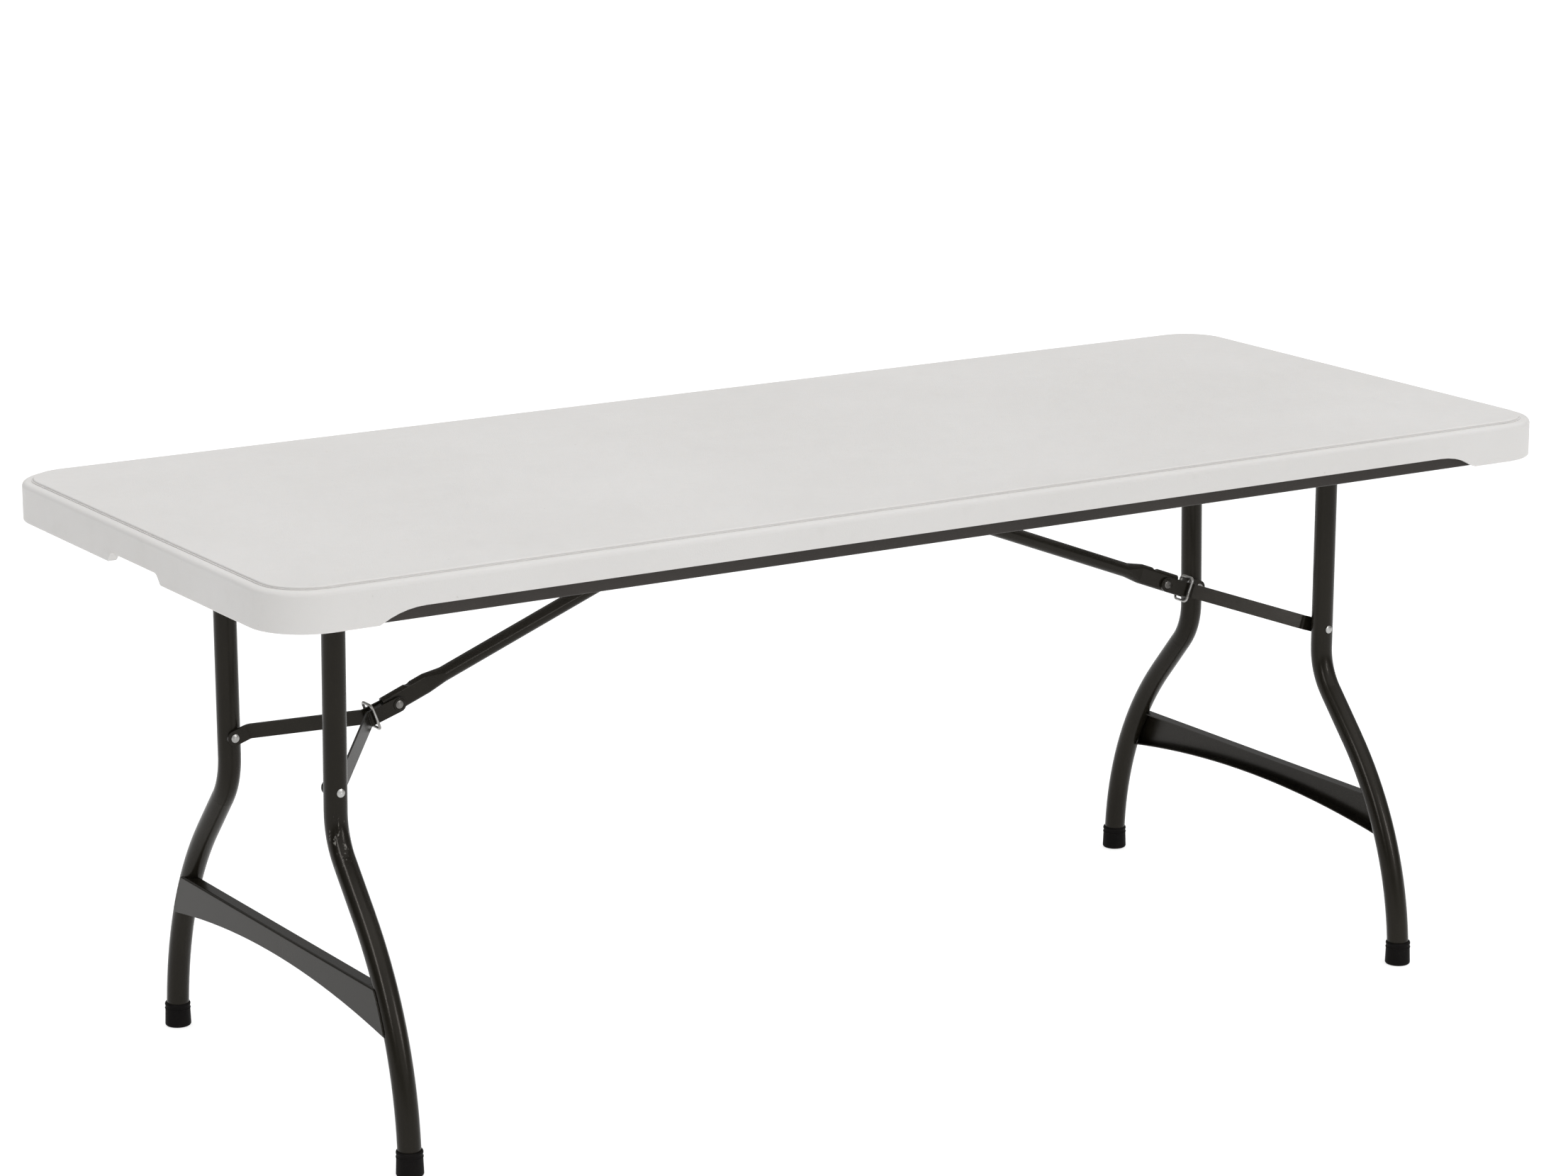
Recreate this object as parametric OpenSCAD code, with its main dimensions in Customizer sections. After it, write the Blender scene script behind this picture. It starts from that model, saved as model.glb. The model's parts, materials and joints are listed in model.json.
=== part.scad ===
// Six-foot folding table: a blow-moulded plastic top on two wishbone leg frames,
// each held open by a Y-brace with a knee joint and a sliding lock ring.
// Millimetres. The origin is on the floor under the centre of the top, +Z is up,
// +X runs along the length and -Y points at the front long side.
// Parts of the right-hand (+X) leg frame are drawn once and mirrored for the left.

/* [Top] */
// Length of the top
table_l = 1830; // [1800:5:1860]
// Depth of the top
table_w = 760; // [750:5:780]
// Height of the top's surface above the floor
table_h = 728; // [724:1:732]
// Corner radius in plan
corner_r = 70; // [64:1:76]
// Depth of the skirt at the ends and corners
skirt_d = 51.5; // [49:0.5:53]
// Thickness of the hollow rim
rim_t = 12.5; // [11.5:0.5:13]
// Thickness of the hollow panel
panel_t = 19; // [18:0.5:20]
// Wall thickness of the moulding
shell_wall = 2.2; // [2:0.1:2.8]
// Radius of the upper outer edge
edge_r = 6; // [4:0.5:7]
// Height of the panel above the rim's ledge
ledge_drop = 3.4; // [2.5:0.1:4]
// Distance from the outer face to the raised panel
ledge_w = 13.5; // [12.5:0.5:15]
// Height that the long sides' skirt is cut away
side_cut_h = 16.8; // [14:0.2:18]
// Distance from the table's end to each end of that cut
side_cut_inset = 126; // [120:1:132]
// Radius of the arc at each end of that cut
side_cut_r = 112; // [100:1:120]
// Width of the finger notch at its mouth
notch_w = 150; // [140:1:160]
// Height of the finger notch
notch_h = 13; // [11:0.5:14]

/* [Leg frames] */
// Distance from the table's end to the legs' axis
leg_inset = 183.4; // [180:0.2:186]
// Outer diameter of the leg tube
leg_d = 28.5; // [28:0.1:29]
// Wall thickness of the leg tube
leg_wall = 1.3; // [1:0.1:1.6]
// Distance from the centre line to each leg at the pivot
leg_top_y = 148.6; // [147:0.1:150]
// Distance from the centre line to each foot
foot_y = 318; // [314:1:322]
// Angle that the upper legs lean together
leg_converge = 0.87; // [0.7:0.01:1]
// Angle that the feet lean out past the pivots
leg_lean = 0.29; // [0.2:0.01:0.4]
// Angle of the splayed stretch from the vertical
splay = 41.2; // [40:0.1:42]
// Height at which the upper and splayed stretches would meet
splay_z = 363.8; // [362:0.2:366]
// Radius of the upper bend
upper_bend_r = 85; // [75:1:90]
// Outer diameter of the cross tube that each frame swings on
pivot_d = 22; // [21:0.2:22]
// Height of the swing axis
pivot_z = 690; // [689:0.5:691]
// How far the swing axis lies inboard of the legs' axis
pivot_inboard = 10; // [9:0.5:11]
// Largest diameter of the foot cap
cap_d = 33; // [32:0.5:34]
// Height of the foot cap
cap_h = 31; // [28:1:34]
// Height of the spreader's straight upper edge
spreader_top = 214; // [210:1:218]
// Height of the arch's crown on the spreader's lower edge
spreader_crown = 184; // [180:1:187]
// Radius of that arch
spreader_arch_r = 1780; // [1600:10:2000]
// Depth of the spreader's flanges
spreader_flange = 15; // [12:0.5:16]

/* [Braces] */
// Distance from the centre to each brace's upper pin
brace_pin_x = 18; // [17:0.5:19]
// Height of the brace's upper pin
brace_pin_z = 691; // [690:0.5:691]
// Height of the rivets that hold the straps to the legs
strap_rivet_z = 421.7; // [419:0.1:424]
// How far the knee lies under the straight line between its two ends
knee_drop = 7.3; // [5:0.1:9]
// Angle through which each leg frame folds
fold_max = 88.7; // [88:0.1:88.7]
// Diameter of the upper brace tube
brace_d = 19; // [18.6:0.2:20]
// Height and thickness of the strap
strap_h = 19; // [18:0.5:19]
strap_t = 3; // [2.5:0.1:3]
// Angle at which the two straps part
strap_splay = 50; // [49:0.5:51]
// Wire diameter of the lock ring
ring_d = 3.5; // [3:0.1:3.6]

/* [Hidden] */
$fn = 48;

eps = 0.01;
through = 200;

// Colours
plastic_color = [0.87, 0.87, 0.86];
frame_color = [0.23, 0.22, 0.21];
rail_color = [0.26, 0.27, 0.25];
cap_color = [0.07, 0.06, 0.05];
zinc_color = [0.72, 0.72, 0.7];

// Heights of the top's moulding
skirt_z = table_h - skirt_d;
ledge_z = table_h - ledge_drop;
panel_under = table_h - panel_t;
side_cut_z = skirt_z + side_cut_h;
band_w = 40;
slab_overlap = 1;

// Steel rails behind the long sides' cut
rail_inset = 14;
rail_t = 1.5;
rail_bottom = skirt_z - 1.2;
rail_h = panel_under - rail_bottom;
rail_flange = 20;
rail_half = table_l / 2 - 95;
rail_y = table_w / 2 - rail_inset;
rail_screw_pitch = 380;
rail_screws_n = 5;
rail_edge_r = 2.2;

// Running and assembly clearances, on the radius
run_gap = 0.08;
part_gap = 0.3;

// Leg frame
leg_x = table_l / 2 - leg_inset;
pivot_x = leg_x - pivot_inboard;
pivot_half = rail_y - rail_t - 3.5;
leg_r = leg_d / 2;
leg_top_z = pivot_z + 4;
leg_end_z = 5;
bend_thinning = 0.08;
bend_lap = 0.15;
cap_top_d = 31;
cap_edge_r = 3;
strap_drop = pivot_z - strap_rivet_z;

// Corner points of the leg's centre line, as [y, z], and where its bends start and end
slope_in = tan(leg_converge);
bend_sum = leg_converge + splay;
splay_y = leg_top_y - (pivot_z - splay_z) * slope_in;
upper_tan = upper_bend_r * tan(bend_sum / 2);
foot_corner_z = splay_z - (foot_y - splay_y) / tan(splay);
lower_tan = foot_corner_z - leg_end_z;
lower_bend_r = lower_tan / tan(splay / 2);
upper_start = [splay_y + upper_tan * sin(leg_converge), splay_z + upper_tan * cos(leg_converge)];
upper_end = [splay_y + upper_tan * sin(splay), splay_z - upper_tan * cos(splay)];
lower_start = [foot_y - lower_tan * sin(splay), foot_corner_z + lower_tan * cos(splay)];
upper_centre = upper_start + upper_bend_r * [cos(leg_converge), -sin(leg_converge)];
lower_centre = [foot_y - lower_bend_r, leg_end_z];

// Spreader
spreader_t = 1.6;
spreader_bend_r = 3;
spreader_short = 1;
spreader_x = leg_r + spreader_t;

// Brace linkage in the XZ plane, as [x, z]: swing axis, strap rivet, upper pin
swing_pt = [pivot_x, pivot_z];
strap_pt = [leg_x + strap_drop * sin(leg_lean), pivot_z - strap_drop * cos(leg_lean)];
pin_pt = [brace_pin_x, brace_pin_z];
function turned(v, a) = [v[0] * cos(a) - v[1] * sin(a), v[0] * sin(a) + v[1] * cos(a)];
strap_folded = swing_pt + turned(strap_pt - swing_pt, -fold_max);
// The knee is placed so that the strap folds back flat along the tube at the end of the fold
open_gap = norm(pin_pt - strap_pt);
shut_gap = norm(pin_pt - strap_folded);
gap_sq = open_gap * open_gap - shut_gap * shut_gap;
knee_run = (open_gap - shut_gap * sqrt(1 + 4 * knee_drop * knee_drop / gap_sq)) / 2;
line_dir = (pin_pt - strap_pt) / open_gap;
line_up = [line_dir[1], -line_dir[0]];
knee_pt = strap_pt + knee_run * line_dir - knee_drop * line_up;
brace_len = norm(knee_pt - pin_pt);
strap_len = norm(knee_pt - strap_pt);
brace_tilt = atan2(pin_pt[1] - knee_pt[1], knee_pt[0] - pin_pt[0]);
strap_tilt = atan2(knee_pt[1] - strap_pt[1], strap_pt[0] - knee_pt[0]);

// Brace tube: its lower end is flattened into a tall tongue between the straps
brace_r = brace_d / 2;
brace_wall = 1.5;
brace_over = 12;
brace_lift = 2;
brace_turn = atan(brace_lift / brace_len);
tongue_t = 11;
tongue_low = -12;
tongue_top = 14.2;
tongue_nose_top = 7;
tongue_start = 45;
flare_len = 25;
flare_step = 0.1;
tongue_end = 41;
step_at = 17;
dent_at = 22.5;
dent_r = 6;
dent_z = 11.2;
knee_rivet_r = 3;
knee_head_r = 5;
knee_head_h = 1.4;
knee_head_gap = 0.2;

// Straps
strap_in_y = tongue_t / 2 + part_gap + strap_t / 2;
strap_out_y = splay_y - leg_r - 0.35 - strap_t / 2;
strap_bend_r = 6;
strap_bend_at = 43;
strap_hole_r = 3 + run_gap;
rivet_r = 3;
rivet_head_r = 5.2;
rivet_head_h = 1.8;

// Lock ring, in the plane across the brace tube
ring_r = ring_d / 2;
ring_at = 35.5;
ring_in_y = strap_in_y + strap_t / 2 + knee_head_gap + knee_head_h + 0.4;
ring_in_low = -12.4;
ring_in_high = tongue_top + brace_lift + 0.6;
ring_corner_r = 4.5;

// Centre bracket for the upper pins
anchor_l = 120;
anchor_w = 62;
anchor_t = 2;
anchor_ear_y = brace_r + 1.3;
anchor_ear_l = 66;
anchor_ear_low = brace_pin_z - 11;
anchor_ear_r = 9;
anchor_screw_x = 48;
anchor_screw_y = 21;
pin_r = 4;
pin_head_r = 6.5;
pin_head_h = 2.2;

// Screws that hold the steel parts to the moulding
screw_r = 2.1;
screw_head_r = 4.5;
screw_head_h = 2.4;
screw_bite = 9;
post_r = 8;

// Plastic block that each end of a cross tube turns in
block_l = 44;
block_d = 22;

// ---------- helpers ----------

// Draws its children on both sides of the XZ plane
module both_y() {
    children();
    mirror([0, 1, 0]) children();
}

// Turns a drawing in X and Y into one in Y and Z, extruded along X
module in_yz() {
    rotate([90, 0, 90]) children();
}

// A round bar between two points of the YZ plane, its circles started on the -Y side
module yz_bar(from, to, r) {
    run = to - from;
    translate([0, from[0], from[1]])
        rotate([atan2(-run[0], run[1]), 0, 0])
            rotate([0, 0, -90])
                cylinder(h = norm(run), r = r);
}

// How far a bend of the given radius runs on into its neighbours, in degrees
function lap(bend_r) = atan(bend_lap / sqrt(bend_r));

// A bent round bar in the YZ plane, between two angles: bending thins it a hair
module yz_bend(centre, bend_r, from, to, r) {
    translate([0, centre[0], centre[1]])
        in_yz()
            rotate([0, 0, from])
                rotate_extrude(angle = to - from)
                    translate([bend_r, 0])
                        rotate(cos((from + to) / 2) > 0 ? 180 : 0)
                            circle(r - bend_thinning);
}

// A domed rivet or screw head, standing on Z = 0
module dome_head(r, h) {
    rim = h * 0.35;
    ball_r = (r * r + (h - rim) * (h - rim)) / (2 * (h - rim));
    intersection() {
        cylinder(h = h, r = r);
        translate([0, 0, h - ball_r]) sphere(ball_r, $fn = 64);
    }
}

// A screw that points up, with its head's seat at Z = 0
module screw_up(grip) {
    translate([0, 0, -eps]) cylinder(h = grip + screw_bite + eps, r = screw_r);
    mirror([0, 0, 1]) dome_head(screw_head_r, screw_head_h);
}

// Moves a right-hand part drawn round the legs' axis to its place
module at_legs() {
    translate([leg_x, 0, pivot_z])
        rotate([0, -leg_lean, 0])
            translate([0, 0, -pivot_z])
                children();
}

// Moves a part drawn along +X from the upper pin to its place on the brace
module at_brace() {
    translate([pin_pt[0], 0, pin_pt[1]]) rotate([0, brace_tilt, 0]) children();
}

// Moves a part drawn along +X from the knee to its place on the straps
module at_straps() {
    translate([knee_pt[0], 0, knee_pt[1]]) rotate([0, strap_tilt, 0]) children();
}

// ---------- top ----------

// Section through the rim: X is the distance from the outer face, Y is the height
module rim_section() {
    difference() {
        union() {
            translate([0, skirt_z]) square([rim_t, ledge_z - skirt_z]);
            translate([0, panel_under]) square([band_w, ledge_z - panel_under]);
            translate([ledge_w, panel_under]) square([band_w - ledge_w, panel_t]);
        }
        translate([0, ledge_z]) corner_cut(edge_r);
        translate([0, skirt_z]) mirror([0, 1]) corner_cut(2);
        translate([rim_t, skirt_z]) mirror([1, 0]) mirror([0, 1]) corner_cut(2);
        translate([ledge_w, table_h]) corner_cut(ledge_drop / 2);
    }
    translate([ledge_w, ledge_z])
        mirror([0, 1])
            rotate(180)
                corner_cut(ledge_drop / 2);
}

// The waste left outside a rounded corner whose outer point is the origin
module corner_cut(r) {
    difference() {
        translate([-1, -r]) square([r + 1, r + 1]);
        translate([r, -r]) circle(r);
        translate([0, -r - 1]) square([r, 1]);
    }
}

// Section of the hollow inside the rim and the panel's edge
module cavity_section() {
    rim_in = rim_t - shell_wall;
    translate([shell_wall, skirt_z + shell_wall])
        square([rim_in - shell_wall, panel_under - skirt_z]);
    translate([shell_wall, panel_under + shell_wall])
        square([ledge_w, panel_t - ledge_drop - 2 * shell_wall - 1]);
    translate([ledge_w + shell_wall, panel_under + shell_wall])
        square([band_w - ledge_w - shell_wall, panel_t - 2 * shell_wall]);
}

// Sweeps a section round the outline of the top
module round_the_top() {
    half = [table_w / 2, table_l / 2];
    for (i = [0:3])
        rotate([0, 0, 90 * i])
            translate([0, -half[i % 2], 0])
                in_yz()
                    translate([0, 0, -(half[(i + 1) % 2] - corner_r)])
                        linear_extrude(2 * (half[(i + 1) % 2] - corner_r))
                            children();
    for (sx = [0, 1], sy = [0, 1])
        mirror([sx, 0, 0])
            mirror([0, sy, 0])
                translate([half[1] - corner_r, half[0] - corner_r, 0])
                    rotate_extrude(angle = 90)
                        translate([corner_r, 0])
                            mirror([1, 0])
                                children();
}

// A plate with round corners, set in from the outline of the top
module top_plate(inset, z, h) {
    r = corner_r - inset;
    x = table_l / 2 - corner_r;
    y = table_w / 2 - corner_r;
    translate([0, 0, z])
        linear_extrude(h)
            union() {
                square([2 * x + 2 * r, 2 * y], center = true);
                square([2 * x, 2 * y + 2 * r], center = true);
                for (sx = [-1, 1], sy = [-1, 1])
                    translate([sx * x, sy * y]) circle(r);
            }
}

// The long side's cut-away, grown by a margin, drawn through one long rim
module side_cut(grow, depth) {
    x = table_l / 2 - side_cut_inset;
    arc_x = x - sqrt(side_cut_r * side_cut_r - pow(side_cut_r - side_cut_h, 2));
    translate([0, -table_w / 2 + depth, 0])
        rotate([90, 0, 0])
            linear_extrude(depth + 1)
                intersection() {
                    translate([-table_l / 2, skirt_z - 10])
                        square([table_l, side_cut_h + 10 + grow]);
                    union() {
                        translate([-arc_x, skirt_z - 10])
                            square([2 * arc_x, side_cut_h + 10 + grow]);
                        for (sx = [-1, 1])
                            translate([sx * arc_x, side_cut_z - side_cut_r])
                                circle(side_cut_r + grow, $fn = 180);
                    }
                }
}

// The finger notch, grown by a margin, drawn through the right-hand end's rim
module end_notch(grow, depth) {
    r = 12 + grow;
    c = [notch_w / 2 - 17, notch_h - 12];
    mouth = [notch_w / 2 + grow, 0];
    to_mouth = mouth - c;
    touch = atan2(to_mouth[1], to_mouth[0]) + acos(r / norm(to_mouth));
    edge = c + r * [cos(touch), sin(touch)];
    translate([table_l / 2 - depth, 0, skirt_z])
        in_yz()
            linear_extrude(depth + 1)
                union() {
                    polygon([[-mouth[0], -2 * grow - 1], [mouth[0], -2 * grow - 1], mouth, edge,
                        [c[0], c[1] + r], [-c[0], c[1] + r], [-edge[0], edge[1]],
                        [-mouth[0], 0]]);
                    for (s = [-1, 1])
                        translate([s * c[0], c[1]]) circle(r);
                }
}

// Solid posts in the moulding that the screws bite into
module screw_posts() {
    both_y()
        for (i = [0 : rail_screws_n - 1])
            translate([rail_screw_x(i), -rail_y + rail_flange / 2 + 1, panel_under])
                cylinder(h = panel_t, r = post_r);
    for (sx = [-1, 1], sy = [-1, 1])
        translate([sx * anchor_screw_x, sy * anchor_screw_y, panel_under])
            cylinder(h = panel_t, r = post_r);
}

module tabletop() {
    color(plastic_color)
        difference() {
            union() {
                round_the_top() rim_section();
                top_plate(band_w - slab_overlap, panel_under, panel_t);
            }
            difference() {
                union() {
                    round_the_top() cavity_section();
                    top_plate(band_w - slab_overlap, panel_under + shell_wall,
                        panel_t - 2 * shell_wall);
                }
                screw_posts();
                both_y() side_cut(shell_wall, rim_t);
                for (s = [0, 1])
                    mirror([s, 0, 0]) end_notch(shell_wall, rim_t);
            }
            both_y() side_cut(0, rim_t + 1);
            for (s = [0, 1])
                mirror([s, 0, 0]) end_notch(0, rim_t + 1);
        }
}

// ---------- rails, centre bracket and pivots under the top ----------

function rail_screw_x(i) = (i - (rail_screws_n - 1) / 2) * rail_screw_pitch;

// The front rail: a steel channel that opens inward
module side_rail() {
    color(rail_color)
        difference() {
            translate([-rail_half, -rail_y, rail_bottom])
                cube([2 * rail_half, rail_flange, rail_h]);
            translate([-rail_half - 1, -rail_y + rail_t, rail_bottom + rail_t])
                cube([2 * rail_half + 2, rail_flange, rail_h - 2 * rail_t]);
            translate([-rail_half - 1, -rail_y, rail_bottom])
                in_yz()
                    linear_extrude(2 * rail_half + 2)
                        mirror([0, 1])
                            corner_cut(rail_edge_r);
            for (i = [0 : rail_screws_n - 1])
                translate([rail_screw_x(i), -rail_y + rail_flange / 2 + 1, panel_under - through / 2])
                    cylinder(h = through, r = screw_r + run_gap);
        }
}

module rail_screws() {
    color(zinc_color)
        both_y()
            for (i = [0 : rail_screws_n - 1])
                translate([rail_screw_x(i), -rail_y + rail_flange / 2 + 1, panel_under - rail_t])
                    screw_up(rail_t);
}

// The plastic block inside a rail, at the right-hand front end of a cross tube
module pivot_block() {
    color(cap_color)
        difference() {
            translate([pivot_x - block_l / 2, -rail_y + rail_t, rail_bottom + rail_t])
                cube([block_l, block_d, rail_h - 2 * rail_t]);
            translate([pivot_x, -pivot_half - 1, pivot_z])
                rotate([-90, 0, 0])
                    cylinder(h = through, r = pivot_d / 2 + run_gap);
        }
}

module brace_anchor() {
    ear_top = panel_under - anchor_t;
    color(rail_color)
        difference() {
            union() {
                translate([-anchor_l / 2, -anchor_w / 2, ear_top])
                    cube([anchor_l, anchor_w, anchor_t]);
                both_y()
                    translate([0, anchor_ear_y, 0])
                        anchor_ear(ear_top + eps);
            }
            for (s = [-1, 1])
                translate([s * brace_pin_x, -through / 2, brace_pin_z])
                    rotate([-90, 0, 0])
                        cylinder(h = through, r = pin_r + 0.05);
            for (sx = [-1, 1], sy = [-1, 1])
                translate([sx * anchor_screw_x, sy * anchor_screw_y, ear_top - 1])
                    cylinder(h = anchor_t + 2, r = screw_r + run_gap);
        }
}

// One ear of the centre bracket, from Y = 0 outwards, with round lower corners
module anchor_ear(top) {
    half = anchor_ear_l / 2;
    translate([0, anchor_t, 0])
        rotate([90, 0, 0])
            linear_extrude(anchor_t)
                union() {
                    translate([-half, anchor_ear_low + anchor_ear_r])
                        square([2 * half, top - anchor_ear_low - anchor_ear_r]);
                    translate([-half + anchor_ear_r, anchor_ear_low])
                        square([2 * (half - anchor_ear_r), anchor_ear_r + 1]);
                    for (s = [-1, 1])
                        translate([s * (half - anchor_ear_r), anchor_ear_low + anchor_ear_r])
                            circle(anchor_ear_r);
                }
}

module anchor_screws() {
    color(zinc_color)
        for (sx = [-1, 1], sy = [-1, 1])
            translate([sx * anchor_screw_x, sy * anchor_screw_y, panel_under - anchor_t])
                screw_up(anchor_t);
}

// The right-hand brace's upper pin, headed on the outside of both ears
module brace_pin() {
    grip = anchor_ear_y + anchor_t + 0.1;
    color(zinc_color)
        translate([pin_pt[0], 0, pin_pt[1]]) {
            translate([0, -grip, 0]) rotate([-90, 0, 0]) cylinder(h = 2 * grip, r = pin_r);
            both_y()
                translate([0, grip - eps, 0])
                    rotate([-90, 0, 0])
                        dome_head(pin_head_r, pin_head_h);
        }
}

// ---------- leg frame, right-hand ----------

module pivot_tube() {
    color(frame_color)
        translate([pivot_x, -pivot_half, pivot_z])
            rotate([-90, 0, 0])
                difference() {
                    cylinder(h = 2 * pivot_half, r = pivot_d / 2);
                    translate([0, 0, -1])
                        cylinder(h = 2 * pivot_half + 2, r = pivot_d / 2 - leg_wall);
                }
}

// The back leg's centre line as a solid bar, run on past both ends by a margin
module leg_bar(r, past) {
    top = [leg_top_y + (leg_top_z + past - pivot_z) * slope_in, leg_top_z + past];
    upper_lap = lap(upper_bend_r);
    yz_bar(upper_start, top, r);
    yz_bend(upper_centre, upper_bend_r, 180 - leg_converge - upper_lap, 180 + splay + upper_lap, r);
    yz_bar(upper_end, lower_start, r);
    yz_bend(lower_centre, lower_bend_r, -atan(past / lower_bend_r), splay + lap(lower_bend_r), r);
}

// The back leg of the right-hand frame, coped to sit against the cross tube
module leg() {
    color(frame_color)
        difference() {
            at_legs()
                difference() {
                    leg_bar(leg_r, 0);
                    leg_bar(leg_r - leg_wall, 1);
                    translate([0, 0, strap_rivet_z])
                        rotate([-90, 0, 0])
                            cylinder(h = 2 * through, r = rivet_r + run_gap);
                }
            translate([pivot_x, 0, pivot_z])
                rotate([-90, 0, 0])
                    cylinder(h = 2 * through, r = pivot_d / 2);
        }
}

// Rivets through the legs, headed outside and flush with the inner side
module leg_rivets() {
    leg_y = leg_top_y - strap_drop * slope_in;
    shank = 2 * leg_r;
    color(zinc_color)
        at_legs()
            both_y()
                translate([0, leg_y - leg_r, strap_rivet_z])
                    rotate([-90, 0, 0]) {
                        cylinder(h = shank, r = rivet_r);
                        translate([0, 0, shank]) dome_head(rivet_head_r, rivet_head_h);
                    }
}

// The spreader's outline, drawn as [y, z], cut at the legs by an arc of the given radius
module spreader_outline(limit_r) {
    intersection() {
        translate([-foot_y, spreader_crown - 2 * (spreader_top - spreader_crown)])
            square([2 * foot_y, 3 * (spreader_top - spreader_crown)]);
        translate(lower_centre) circle(limit_r, $fn = 360);
        translate([-lower_centre[0], lower_centre[1]]) circle(limit_r, $fn = 360);
    }
}

module spreader() {
    arch_z = spreader_crown - spreader_arch_r;
    leg_side_r = lower_bend_r - leg_r - part_gap;
    inner_x = leg_r - spreader_flange;
    color(frame_color)
        at_legs()
            difference() {
                union() {
                    translate([leg_r, 0, 0])
                        in_yz() linear_extrude(spreader_t) spreader_face(lower_bend_r - spreader_short);
                    translate([inner_x, 0, 0])
                        in_yz()
                            linear_extrude(spreader_flange + eps)
                                difference() {
                                    spreader_face(leg_side_r);
                                    translate([-through * 2, spreader_crown - through])
                                        square([through * 4, through + spreader_top
                                            - spreader_crown - spreader_t]);
                                }
                    translate([inner_x, 0, 0])
                        in_yz()
                            linear_extrude(spreader_flange + eps)
                                intersection() {
                                    spreader_face(leg_side_r);
                                    translate([0, arch_z])
                                        circle(spreader_arch_r + spreader_t, $fn = 720);
                                }
                }
                translate([spreader_x, through * 2, spreader_top])
                    rotate([90, 0, 0])
                        linear_extrude(through * 4)
                            mirror([1, 0])
                                corner_cut(spreader_bend_r);
                translate([0, 0, arch_z])
                    in_yz()
                        rotate([0, 0, 90 - 12])
                            rotate_extrude(angle = 24, $fn = 720)
                                translate([spreader_arch_r, spreader_x])
                                    rotate(90)
                                        corner_cut(spreader_bend_r);
            }
}

// The spreader's face: the outline above its arched lower edge
module spreader_face(limit_r) {
    difference() {
        spreader_outline(limit_r);
        translate([0, spreader_crown - spreader_arch_r]) circle(spreader_arch_r, $fn = 720);
    }
}

// The foot cap of the right-hand back leg: a moulded cup on the end of the tube
module foot_cap() {
    outer = cap_d / 2;
    bore_from = [foot_y + 0.02, leg_end_z - 0.6];
    bore_h = cap_h + 1 - leg_end_z;
    bore_to = [foot_y - bore_h * bore_h / (2 * lower_bend_r), cap_h + 1];
    color(cap_color)
        difference() {
            translate([leg_x + (pivot_z - cap_h / 2) * sin(leg_lean), foot_y, 0])
                union() {
                    cylinder(h = cap_edge_r, r = outer - cap_edge_r);
                    rotate_extrude()
                        translate([outer - cap_edge_r, cap_edge_r])
                            intersection() {
                                circle(cap_edge_r);
                                translate([0, -cap_edge_r]) square(cap_edge_r);
                            }
                    translate([0, 0, cap_edge_r])
                        cylinder(h = cap_h - cap_edge_r, r1 = outer, r2 = cap_top_d / 2);
                }
            at_legs() yz_bar(bore_from, bore_to, leg_r + part_gap);
        }
}

// ---------- brace, right-hand ----------

// The flattened tube's section up to a height, drawn as [y, z]
module tongue_section(shrink, top) {
    r = tongue_t / 2 - shrink;
    low = tongue_low + tongue_t / 2;
    high = top - tongue_t / 2;
    translate([-r, low]) square([2 * r, high - low]);
    for (z = [low, high])
        translate([0, z]) circle(r);
}

// The tube's axis leaves the upper pin and passes a little over the knee rivet
module brace_tube() {
    flare_end = brace_len - tongue_start;
    flare_start = flare_end - flare_len;
    color(frame_color)
        at_brace()
            difference() {
                rotate([0, -brace_turn, 0])
                    difference() {
                        union() {
                            translate([-brace_over, 0, 0])
                                rotate([0, 90, 0])
                                    cylinder(h = brace_over + flare_start, r = brace_r);
                            hull() {
                                translate([flare_start - 0.5, 0, 0])
                                    in_yz() linear_extrude(0.5) circle(brace_r - flare_step, $fn = 32);
                                translate([flare_end, 0, 0])
                                    in_yz() linear_extrude(0.5) tongue_section(0, tongue_top, $fn = 32);
                            }
                            translate([flare_end, 0, 0])
                                in_yz()
                                    linear_extrude(tongue_start + tongue_end)
                                        tongue_section(0, tongue_top);
                        }
                        translate([-brace_over - 1, 0, 0])
                            rotate([0, 90, 0])
                                cylinder(h = brace_over + flare_start, r = brace_r - brace_wall);
                        translate([flare_end + 2, 0, 0])
                            in_yz()
                                linear_extrude(tongue_start + tongue_end)
                                    tongue_section(brace_wall, tongue_nose_top);
                        translate([brace_len + step_at, -through / 2, tongue_nose_top])
                            cube([through, through, through]);
                        translate([brace_len - dent_at, through / 2, dent_z + dent_r])
                            rotate([90, 0, 0])
                                cylinder(h = through, r = dent_r);
                    }
                translate([0, -through / 2, 0])
                    rotate([-90, 0, 0])
                        cylinder(h = through, r = pin_r + run_gap);
                translate([brace_len, -through / 2, 0])
                    rotate([-90, 0, 0])
                        cylinder(h = through, r = knee_rivet_r);
            }
}

module knee_rivet() {
    grip = strap_in_y + strap_t / 2 + knee_head_gap;
    color(zinc_color)
        at_brace()
            translate([brace_len, 0, 0]) {
                translate([0, -grip, 0])
                    rotate([-90, 0, 0])
                        cylinder(h = 2 * grip, r = knee_rivet_r);
                both_y()
                    translate([0, grip - eps, 0])
                        rotate([-90, 0, 0])
                            dome_head(knee_head_r, knee_head_h);
            }
}

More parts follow.
